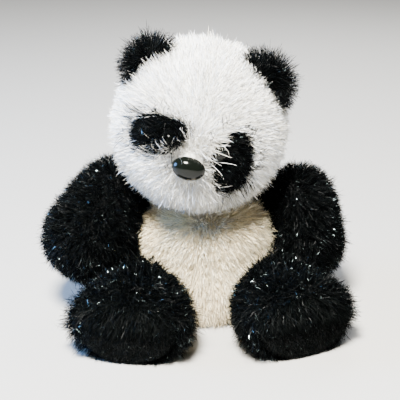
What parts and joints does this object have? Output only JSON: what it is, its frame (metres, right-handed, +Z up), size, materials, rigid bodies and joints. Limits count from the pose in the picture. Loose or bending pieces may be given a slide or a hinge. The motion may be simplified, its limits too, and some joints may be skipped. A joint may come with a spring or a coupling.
{
  "type": "plush panda",
  "caption": "Seated plush panda sewn from black and white shaggy fur panels, with plastic eyes and nose, turning and nodding head, folding ears, and movable arms and legs.",
  "frame": {"origin": "middle of the flat seat, at the surface that the toy sits on", "axes": "+Z up, the toy faces -Y, its own left side is at +X"},
  "size_m": [0.1891, 0.1463, 0.1825],
  "materials": {
    "white_fur": "long shaggy pile, satin fibres",
    "black_fur": "long shaggy pile with fine sparkling fibres",
    "black_short_pile": "short dense pile",
    "polyester_fill": "loose fibre fill",
    "pellet_cloth": "plain cotton bag of plastic pellets",
    "label_satin": "smooth satin ribbon",
    "black_plastic": "polished",
    "washer_plastic": "moulded, natural"
  },
  "bodies": {
    "torso": {"torso_stuffing": "polyester_fill", "pellet_bag": "pellet_cloth", "belly_panel_left": "white_fur", "belly_panel_right": "white_fur", "back_panel_left": "white_fur", "back_panel_right": "white_fur", "shoulder_yoke": "black_fur", "seat_panel": "white_fur", "tail": "white_fur", "care_label": "label_satin"},
    "neck": {"neck_stuffing": "polyester_fill"},
    "head": {"head_stuffing": "polyester_fill", "face_panel_left": "white_fur", "face_panel_right": "white_fur", "back_head_panel_left": "white_fur", "back_head_panel_right": "white_fur", "eye_patch_left": "black_fur", "eye_patch_right": "black_fur", "eye_left": "black_plastic", "eye_right": "black_plastic", "eye_washer_left": "washer_plastic", "eye_washer_right": "washer_plastic", "nose": "black_plastic", "nose_washer": "washer_plastic"},
    "ear_left": {"ear_front_left": "black_fur", "ear_back_left": "black_fur"},
    "ear_right": {"ear_front_right": "black_fur", "ear_back_right": "black_fur"},
    "arm_left": {"arm_top_panel_left": "black_fur", "arm_under_panel_left": "black_fur", "arm_stuffing_left": "polyester_fill"},
    "arm_right": {"arm_top_panel_right": "black_fur", "arm_under_panel_right": "black_fur", "arm_stuffing_right": "polyester_fill"},
    "leg_left": {"leg_outer_panel_left": "black_fur", "leg_inner_panel_left": "black_fur", "sole_pad_left": "black_short_pile", "leg_stuffing_left": "polyester_fill"},
    "leg_right": {"leg_outer_panel_right": "black_fur", "leg_inner_panel_right": "black_fur", "sole_pad_right": "black_short_pile", "leg_stuffing_right": "polyester_fill"}
  },
  "joints": [
    {"name": "head_turn", "type": "hinge", "parent": "torso", "child": "neck", "pos_m": [0, 0, 0.086], "axis": [0, 0, 1], "range_deg": [-35, 35], "stiffness_Nm_per_rad": 0.15},
    {"name": "head_nod", "type": "hinge", "parent": "neck", "child": "head", "pos_m": [0, 0, 0.086], "axis": [1, 0, 0], "range_deg": [-10, 12], "stiffness_Nm_per_rad": 0.4},
    {"name": "ear_fold_left", "type": "hinge", "parent": "head", "child": "ear_left", "pos_m": [0.03292, -0.02159, 0.15617], "axis": [0.6, -0.0472, -0.7986], "range_deg": [-25, 25], "stiffness_Nm_per_rad": 0.02},
    {"name": "ear_fold_right", "type": "hinge", "parent": "head", "child": "ear_right", "pos_m": [-0.03023, -0.0163, 0.16387], "axis": [0.7962, -0.0627, 0.6018], "range_deg": [-12, 25], "stiffness_Nm_per_rad": 0.02},
    {"name": "arm_raise_left", "type": "hinge", "parent": "torso", "child": "arm_left", "pos_m": [0.0605, 0.008, 0.067], "axis": [0, -1, 0], "range_deg": [0, 50], "stiffness_Nm_per_rad": 0.2},
    {"name": "arm_raise_right", "type": "hinge", "parent": "torso", "child": "arm_right", "pos_m": [-0.059, 0.003, 0.0735], "axis": [0, 1, 0], "range_deg": [-3, 50], "stiffness_Nm_per_rad": 0.2},
    {"name": "leg_splay_left", "type": "hinge", "parent": "torso", "child": "leg_left", "pos_m": [0.037, -0.019, 0.02], "axis": [0, 0, 1], "range_deg": [-12, 12], "stiffness_Nm_per_rad": 0.1},
    {"name": "leg_splay_right", "type": "hinge", "parent": "torso", "child": "leg_right", "pos_m": [-0.037, -0.019, 0.02], "axis": [0, 0, -1], "range_deg": [-4, 18], "stiffness_Nm_per_rad": 0.1}
  ]
}
